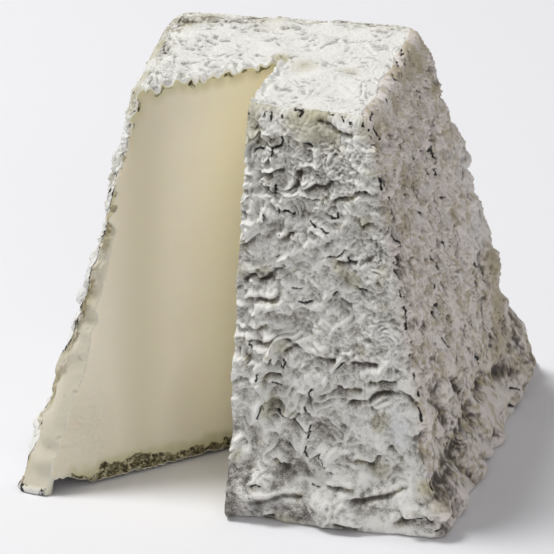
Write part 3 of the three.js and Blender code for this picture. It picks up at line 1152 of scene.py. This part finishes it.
class Material:
    """A material whose nodes are added and linked in one call each."""

    def __init__(self, name):
        self.block = bpy.data.materials.new(name)
        self.block.use_nodes = True
        self.nodes = self.block.node_tree.nodes
        self.links = self.block.node_tree.links
        self.nodes.clear()
        output = self.nodes.new("ShaderNodeOutputMaterial")
        self.shader = self.nodes.new("ShaderNodeBsdfPrincipled")
        self.links.new(self.shader.outputs[0], output.inputs[0])

    def add(self, kind, inputs, **settings):
        """Adds a node. Each input is a number, or the socket that it is linked to."""
        node = self.nodes.new("ShaderNode" + kind)
        for name, value in settings.items():
            setattr(node, name, value)
        for name, value in inputs.items():
            if isinstance(value, bpy.types.NodeSocket):
                self.links.new(value, node.inputs[name])
            else:
                node.inputs[name].default_value = value
        return node

    def map(self, name):
        return self.add("Attribute", {}, attribute_name=name).outputs["Fac"]

    def noise(self, size, detail=3.0, roughness=0.6, distortion=0.0):
        """Noise with features of about the given size, in millimetres."""
        inputs = {"Vector": self.add("TexCoord", {}).outputs["Object"], "Scale": 1 / (size * MM)}
        inputs.update({"Detail": detail, "Roughness": roughness, "Distortion": distortion})
        return self.add("TexNoise", inputs).outputs["Fac"]

    def product(self, first, second, plus=0.0, clamp=False):
        inputs = {0: first, 1: second, 2: plus}
        node = self.add("Math", inputs, operation="MULTIPLY_ADD", use_clamp=clamp)
        return node.outputs[0]

    def sum(self, first, second, clamp=False):
        return self.product(first, 1.0, second, clamp)

    def ramp(self, value, stops):
        node = self.add("ValToRGB", {"Fac": value})
        elements = node.color_ramp.elements
        while len(elements) < len(stops):
            elements.new(0.5)
        for element, (place, colour) in zip(elements, stops):
            element.position = place
            element.color = linear(*colour)
        return node.outputs["Color"]

    def mixed(self, share, first, second, blend="MIX"):
        if isinstance(second, tuple):
            second = linear(*second)
        inputs = {0: share, 6: first, 7: second}
        return self.add("Mix", inputs, data_type="RGBA", blend_type=blend).outputs[2]

    def finished(self, colour, height, strength, distance, looks):
        """The material with its colour, its bump and its other looks on the shader."""
        inputs = {"Strength": strength, "Distance": distance * MM, "Height": height}
        bump = self.add("Bump", inputs)
        self.links.new(colour, self.shader.inputs["Base Color"])
        self.links.new(bump.outputs[0], self.shader.inputs["Normal"])
        for name, value in looks.items():
            self.shader.inputs[name].default_value = value
        return self.block


def rind_material():
    """White and grey mould over black ash, with olive stains and thick white patches, and
    painted shade and highlights in its whiteness and stains.
    """
    rind = Material("mould_rind")
    smear, rose = rind.map("smear"), rind.map("rose")
    mottle = rind.noise(0.4, detail=4.0, roughness=0.7, distortion=0.5)
    grain = rind.noise(0.16, detail=2.0, distortion=0.8)
    spread = rind.product(grain, 1.7, rind.product(mottle, 1.3, -0.65))
    spread = rind.product(rind.sum(spread, -0.85), rind.product(rose, -0.5, 1.0))
    flakes = rind.noise(2.8, detail=2.0, roughness=0.55, distortion=0.8)
    flakes = rind.product(rind.product(flakes, 2.6, -1.3), rose)
    # The bloom and olive maps hold painted shade in the hollows and creases and painted highlights
    # on what stands out, besides the mould's own tones.
    bloom = rind.sum(rind.sum(rind.map("bloom"), spread), flakes, clamp=True)
    colour = rind.mixed(smear, rind.ramp(bloom, MOULD), SMEARED_PASTE_IN_PAINTED_SHADE)
    olive = rind.product(rind.map("olive"), 0.75, clamp=True)
    colour = rind.mixed(olive, colour, OLIVE, "MULTIPLY")
    colour = rind.mixed(rind.product(rose, 0.9, clamp=True), colour, PINK, "MULTIPLY")
    fuzz_and_bounce_light = rind.product(rind.map("fuzz_and_bounce_light"), 0.75, clamp=True)
    colour = rind.mixed(fuzz_and_bounce_light, colour, THICK_MOULD)
    ragged = rind.product(mottle, 1.5, rind.map("crack"))
    crack = rind.product(ragged, 5.0, -6.6, clamp=True)
    colour = rind.mixed(crack, colour, BLACK_ASH)
    rough = rind.product(rind.product(grain, 0.5, mottle), rind.product(smear, -1.0, 1.0))
    looks = {"Roughness": 0.95, "Specular IOR Level": 0.25}
    looks.update({"Sheen Weight": 0.15, "Sheen Roughness": 0.6})
    return rind.finished(colour, rough, 0.7, 0.25, looks)


def paste_material():
    """Smooth ivory paste, olive and clearer under the rind, with a dark ragged skin that is
    partly painted shade, and painted warm bounce light deep in the notch.
    """
    paste = Material("paste")
    colour = paste.ramp(paste.noise(6.0), PASTE)
    colour = paste.mixed(paste.map("rose"), colour, GREY_PASTE)
    # Painted warm bounce light deep in the notch.
    colour = paste.mixed(paste.map("fuzz_and_bounce_light"), colour, PASTE_IN_BOUNCE_LIGHT)
    ripe = paste.product(paste.map("olive"), 0.8, clamp=True)
    colour = paste.mixed(ripe, colour, RIPE_PASTE)
    colour = paste.mixed(paste.map("bloom"), colour, SKIN)
    mottle = paste.noise(0.9, detail=5.0, roughness=0.75)
    # Dark crust and the dark line under the skin, partly painted shade under the rind's edge.
    dark = paste.product(paste.sum(mottle, paste.map("crack")), 3.5, -3.2, clamp=True)
    colour = paste.mixed(dark, colour, paste.ramp(mottle, CRUST))
    lumps = paste.noise(2.2, detail=4.0, roughness=0.65, distortion=0.8)
    lumps = paste.product(lumps, paste.map("smear"))
    looks = {"Roughness": 0.55, "Specular IOR Level": 0.3, "Subsurface Weight": 0.35}
    looks.update({"Subsurface Radius": (1.0, 0.75, 0.45), "Subsurface Scale": 3 * MM})
    return paste.finished(colour, lumps, 0.6, 1.0, looks)


# ---- camera, floor, light


def add_camera():
    """The photograph's view, through a long lens."""
    target = Vector(view_target()) * MM
    back = Vector(view_axes()[2])
    camera = bpy.data.objects.new("camera", bpy.data.cameras.new("camera"))
    camera.data.sensor_width = 36
    camera.data.lens = 36 * FOCAL / PICTURE
    camera.data.clip_start = 0.05
    camera.data.clip_end = 20
    camera.location = target + back * DISTANCE * MM
    camera.rotation_euler = back.to_track_quat("Z", "Y").to_euler()
    bpy.context.scene.collection.objects.link(camera)
    bpy.context.scene.camera = camera


def add_floor():
    mesh = bpy.data.meshes.new("floor")
    half = 3.0
    corners = [(-half, -half, 0), (half, -half, 0), (half, half, 0), (-half, half, 0)]
    mesh.from_pydata(corners, [], [(0, 1, 2, 3)])
    floor = bpy.data.objects.new("floor", mesh)
    bpy.context.scene.collection.objects.link(floor)
    material = Material("floor")
    material.shader.inputs["Base Color"].default_value = (0.845, 0.845, 0.865, 1)
    material.shader.inputs["Roughness"].default_value = 0.8
    floor.data.materials.append(material.block)


def add_area(name, place, target, size, power):
    light = bpy.data.lights.new(name, "AREA")
    light.shape = "DISK"
    light.size = size
    light.energy = power
    lamp = bpy.data.objects.new(name, light)
    lamp.location = place
    lamp.rotation_euler = (Vector(place) - Vector(target)).to_track_quat("Z", "Y").to_euler()
    bpy.context.scene.collection.objects.link(lamp)


def add_light():
    """A soft lamp to the left and a little behind, and pale light from all round."""
    add_area("key", (-0.5, 0.03, 0.98), (0, 0, 0.03), 0.38, 8.8)
    add_area("fill", (0.9, -1.3, 0.45), (0, 0, 0.03), 1.2, 3.4)
    world = bpy.data.worlds.new("studio")
    world.use_nodes = True
    background = world.node_tree.nodes["Background"]
    background.inputs["Color"].default_value = (0.99, 0.985, 1.0, 1)
    background.inputs["Strength"].default_value = 0.36
    bpy.context.scene.world = world


bpy.context.scene.view_settings.view_transform = "Standard"
add_camera()
add_floor()
add_light()
cheese = build_cheese()
cheese.data.materials.append(rind_material())
cheese.data.materials.append(paste_material())
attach(cheese, "root")
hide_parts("cheese")
